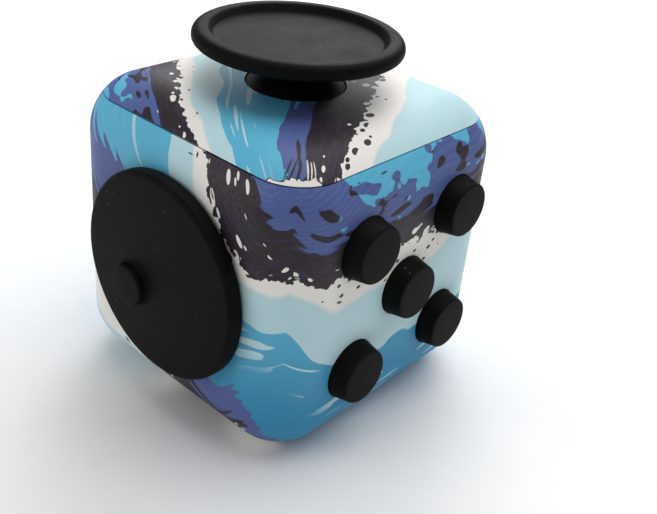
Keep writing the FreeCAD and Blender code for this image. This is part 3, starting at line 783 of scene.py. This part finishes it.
DIAL_OUTLINE = rounded((
    (0.0, -0.5, 0), (0.75, -0.5, 0), (0.75, -5.0, 0), (2.2, -5.0, 0), (2.2, 0.25, 0),
    (10.85, 0.25, 0.2), (10.85, 1.8, 0.6), (0.0, 1.8, 0)))
NUB_OUTLINE = rounded((
    (0.0, 1.5, 0), (2.65, 1.5, 0), (2.6, 1.8, 0), (2.25, 1.85, 0.3), (2.2, 2.68, 0.32), (0.0, 2.7, 0)))
NUB_ASIDE = Vector((-3.5, -2.2, 0.0)) * MM     # from the dial's middle to its finger nub


class FIDGET_OT_dial(Operator):
    """Finish the spinning dial and what holds it"""

    bl_idname = "fidget.dial"
    bl_label = "Spinning Dial"

    def execute(self, context):
        dress_nodes(context, ("dial_wave_washer", "dial_retainer", "dial_screw"))
        centre = middle_of("dial")
        place = face_place(Vector((centre.x, -HALF, centre.z)), Vector((1, 0, 0)), Vector((0, 0, 1)))
        disc = bmesh.new()
        add_turned(disc, DIAL_OUTLINE, place, 192)
        add_turned(disc, NUB_OUTLINE, place @ Matrix.Translation(NUB_ASIDE), 96)
        piece = add_piece("spinning_dial", disc, finish_of(context, "soft_touch"), "dial")
        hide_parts("dial")
        return {"FINISHED"}


BUTTON_OUTLINE = rounded((
    (0.0, -3.6, 0), (1.5, -3.6, 0), (1.5, -2.7, 0), (3.9, -2.7, 0), (3.9, -1.9, 0),
    (3.2, -1.9, 0), (3.2, 0.1, 0.4), (2.87, 1.98, 0.24), (0.0, 2.0, 0)))
MAT_DOME_OUTLINE = rounded((
    (0.0, 1.4, 0), (1.3, 1.4, 0), (2.45, 0.6, 0), (2.45, 0.0, 0), (3.0, 0.0, 0),
    (3.0, 0.8, 0), (1.8, 1.8, 0), (0.0, 1.8, 0)))
DOME_SIDES = 48
DOME_HOLE_MM = 3.01                            # radius of the mat's hole, just wider than a dome
MAT_SHEET_MM = 0.8                             # thickness of the mat between its domes
MAT_CORNER_MM = 2.5                            # rounding of the mat's corners
BOSS_ASIDE_MM = 10.0                           # from the mat's middle to each screw boss
BOSS_NOTCH_MM = 1.55                           # radius of the mat's notch round a boss


class FIDGET_OT_buttons(Operator):
    """Finish the five push buttons and the layers behind them"""

    bl_idname = "fidget.buttons"
    bl_label = "Push Buttons"

    def execute(self, context):
        dress_nodes(context, ("snap_domes", "button_plate", "button_plate_screws"))
        low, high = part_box("button_mat")
        middle = Vector((low.x, (low.y + high.y) / 2, HALF))
        outlines = [mat_outline((high.y - low.y) / MM, MAT_CORNER_MM, BOSS_ASIDE_MM, BOSS_NOTCH_MM)]
        domes = []
        for name in sorted(NODES):
            if "_button_" not in name:
                continue
            centre = middle_of(name)
            cap = bmesh.new()
            add_turned(cap, BUTTON_OUTLINE, looking_right(Vector((HALF, centre.y, centre.z))), 112)
            piece = add_piece(name + "_cap", cap, finish_of(context, "soft_touch"), name)
            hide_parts(name)

            foot = Vector((low.x, centre.y, centre.z))
            dome = bmesh.new()
            add_turned(dome, MAT_DOME_OUTLINE, looking_right(foot), DOME_SIDES)
            rubber = add_piece(name + "_mat_dome", dome, finish_of(context, "silicone"), "case")
            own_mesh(rubber)
            domes.append(rubber)
            aside = (foot - middle) / MM
            last = DOME_SIDES - 1
            outlines.append(arc((aside.y, aside.z), DOME_HOLE_MM, 0.0, 2 * math.pi * last / DOME_SIDES, last))
        sheet = bmesh.new()
        add_sheet(sheet, outlines, looking_right(middle), MAT_SHEET_MM)
        base = add_piece("button_mat_sheet", sheet, finish_of(context, "silicone"), "case")
        for face in base.data.polygons:
            face.use_smooth = False
        for rubber in domes + [base]:
            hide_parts("button_mat")
        return {"FINISHED"}


class FIDGET_OT_flip_switch(Operator):
    """Finish the flip switch, its pin, bracket and leaf"""

    bl_idname = "fidget.flip_switch"
    bl_label = "Flip Switch"

    def execute(self, context):
        dress_nodes(context, ("flip_rocker", "flip_pin", "flip_bracket", "flip_leaf",
                              "flip_bracket_screws"))
        return {"FINISHED"}


class FIDGET_OT_wheels_and_ball(Operator):
    """Finish the three click wheels, the rolling ball and their cradle"""

    bl_idname = "fidget.wheels_and_ball"
    bl_label = "Click Wheels and Ball"

    def execute(self, context):
        wheels = sorted(name for name in NODES if name.startswith("click_wheel_"))
        dress_nodes(context, wheels + ["wheel_axle", "cradle", "cradle_screws", "click_leaf", "ball",
                                       "ball_ring", "ball_cup", "ball_spring"])
        return {"FINISHED"}


class FIDGET_OT_thumb_dish(Operator):
    """Finish the thumb dish and the case screws that it covers"""

    bl_idname = "fidget.thumb_dish"
    bl_label = "Thumb Dish"

    def execute(self, context):
        dress_nodes(context, ("thumb_dish", "case_screws"))
        return {"FINISHED"}


# ---------------------------------------------------------------- operator: the stage
CAMERA_AIM = Vector((5.74, 2.26, 18.03)) * MM
CAMERA_AZIMUTH = math.radians(38.88)           # from the front towards the button side
CAMERA_ELEVATION = math.radians(29.12)
CAMERA_ROLL = math.radians(6.25)
CAMERA_SHIFT = (-0.015, -0.05)                 # sideways and up, in widths of the view
FLOOR_HALF = 1.5
FLOOR_GAP = 0.02 * MM                          # the floor lies this far under the cube


def area_light(name, place, aim, size, power):
    lamp = bpy.data.lights.new(name, "AREA")
    lamp.shape = "DISK"
    lamp.size = size
    lamp.energy = power
    held = bpy.data.objects.new(name, lamp)
    held.location = place
    held.rotation_euler = (aim - place).to_track_quat("-Z", "Y").to_euler()
    bpy.context.scene.collection.objects.link(held)


def aimed(aim, azimuth, elevation, distance):
    """A place seen from a point at an azimuth and elevation, and the way back to it."""
    back = Vector((math.sin(azimuth) * math.cos(elevation), -math.cos(azimuth) * math.cos(elevation),
                   math.sin(elevation)))
    return aim + back * distance, back


class FIDGET_OT_stage(Operator):
    """Set the pale floor, the soft lights, the pale surroundings and the camera"""

    bl_idname = "fidget.stage"
    bl_label = "Stage"

    def execute(self, context):
        stage = context.scene.fidget_stage
        sheet = bmesh.new()
        bmesh.ops.create_grid(sheet, x_segments=8, y_segments=8, size=FLOOR_HALF)
        made = bpy.data.meshes.new("floor")
        sheet.to_mesh(made)
        sheet.free()
        made.materials.append(floor_material(stage.floor))
        floor = bpy.data.objects.new("floor", made)
        floor.location.z = -FLOOR_GAP
        context.scene.collection.objects.link(floor)

        middle = Vector((0.0, 0.0, HALF))
        area_light("top_light", Vector((0.01, 0.12, 0.36)), middle, 0.52, stage.top_power)
        area_light("back_light", Vector((-0.17, 0.21, 0.17)), middle, 0.20, stage.back_power)
        area_light("side_light", Vector((-0.16, -0.26, 0.14)), middle, 0.22, stage.side_power)

        world = bpy.data.worlds.new("pale_surroundings")
        world.use_nodes = True
        sky = next(node for node in world.node_tree.nodes if node.type == "BACKGROUND")
        sky.inputs["Color"].default_value = (0.95, 0.975, 1.0, 1.0)
        sky.inputs["Strength"].default_value = stage.sky
        context.scene.world = world
        context.scene.view_settings.view_transform = "Standard"

        place, back = aimed(CAMERA_AIM, CAMERA_AZIMUTH, CAMERA_ELEVATION, stage.distance)
        lens = bpy.data.cameras.new("camera")
        lens.sensor_width = 36.0
        lens.lens = stage.lens
        lens.shift_x, lens.shift_y = CAMERA_SHIFT
        lens.clip_start = 0.005
        lens.clip_end = 10.0
        camera = bpy.data.objects.new("camera", lens)
        upright = back.to_track_quat("Z", "Y").to_matrix()
        roll = Matrix.Rotation(CAMERA_ROLL, 3, "Z")
        camera.matrix_world = Matrix.Translation(place) @ (upright @ roll).to_4x4()
        context.scene.collection.objects.link(camera)
        context.scene.camera = camera
        return {"FINISHED"}


class FIDGET_PT_panel(Panel):
    """Every step of the cube's making, in order"""

    bl_idname = "FIDGET_PT_panel"
    bl_label = "Fidget Cube"
    bl_space_type = "VIEW_3D"
    bl_region_type = "UI"
    bl_category = "Fidget Cube"

    def draw(self, context):
        layout = self.layout
        for step in STEPS:
            layout.operator(step.bl_idname)
        for group, kind in SETTINGS.items():
            box = layout.box()
            for name in kind.__annotations__:
                box.prop(getattr(context.scene, group), name)


STEPS = (FIDGET_OT_stage, FIDGET_OT_printed_shells, FIDGET_OT_film_marks, FIDGET_OT_thumb_stick,
         FIDGET_OT_dial, FIDGET_OT_buttons, FIDGET_OT_flip_switch, FIDGET_OT_wheels_and_ball,
         FIDGET_OT_thumb_dish)


def register():
    for kind in tuple(SETTINGS.values()) + STEPS + (FIDGET_PT_panel,):
        bpy.utils.register_class(kind)
    for name, kind in SETTINGS.items():
        setattr(bpy.types.Scene, name, PointerProperty(type=kind))


def unregister():
    for name in SETTINGS:
        delattr(bpy.types.Scene, name)
    for kind in (FIDGET_PT_panel,) + STEPS[::-1] + tuple(SETTINGS.values()):
        bpy.utils.unregister_class(kind)


def main():
    register()
    for step in STEPS:
        group, name = step.bl_idname.split(".")
        getattr(getattr(bpy.ops, group), name)()


if __name__ == "__main__":
    main()
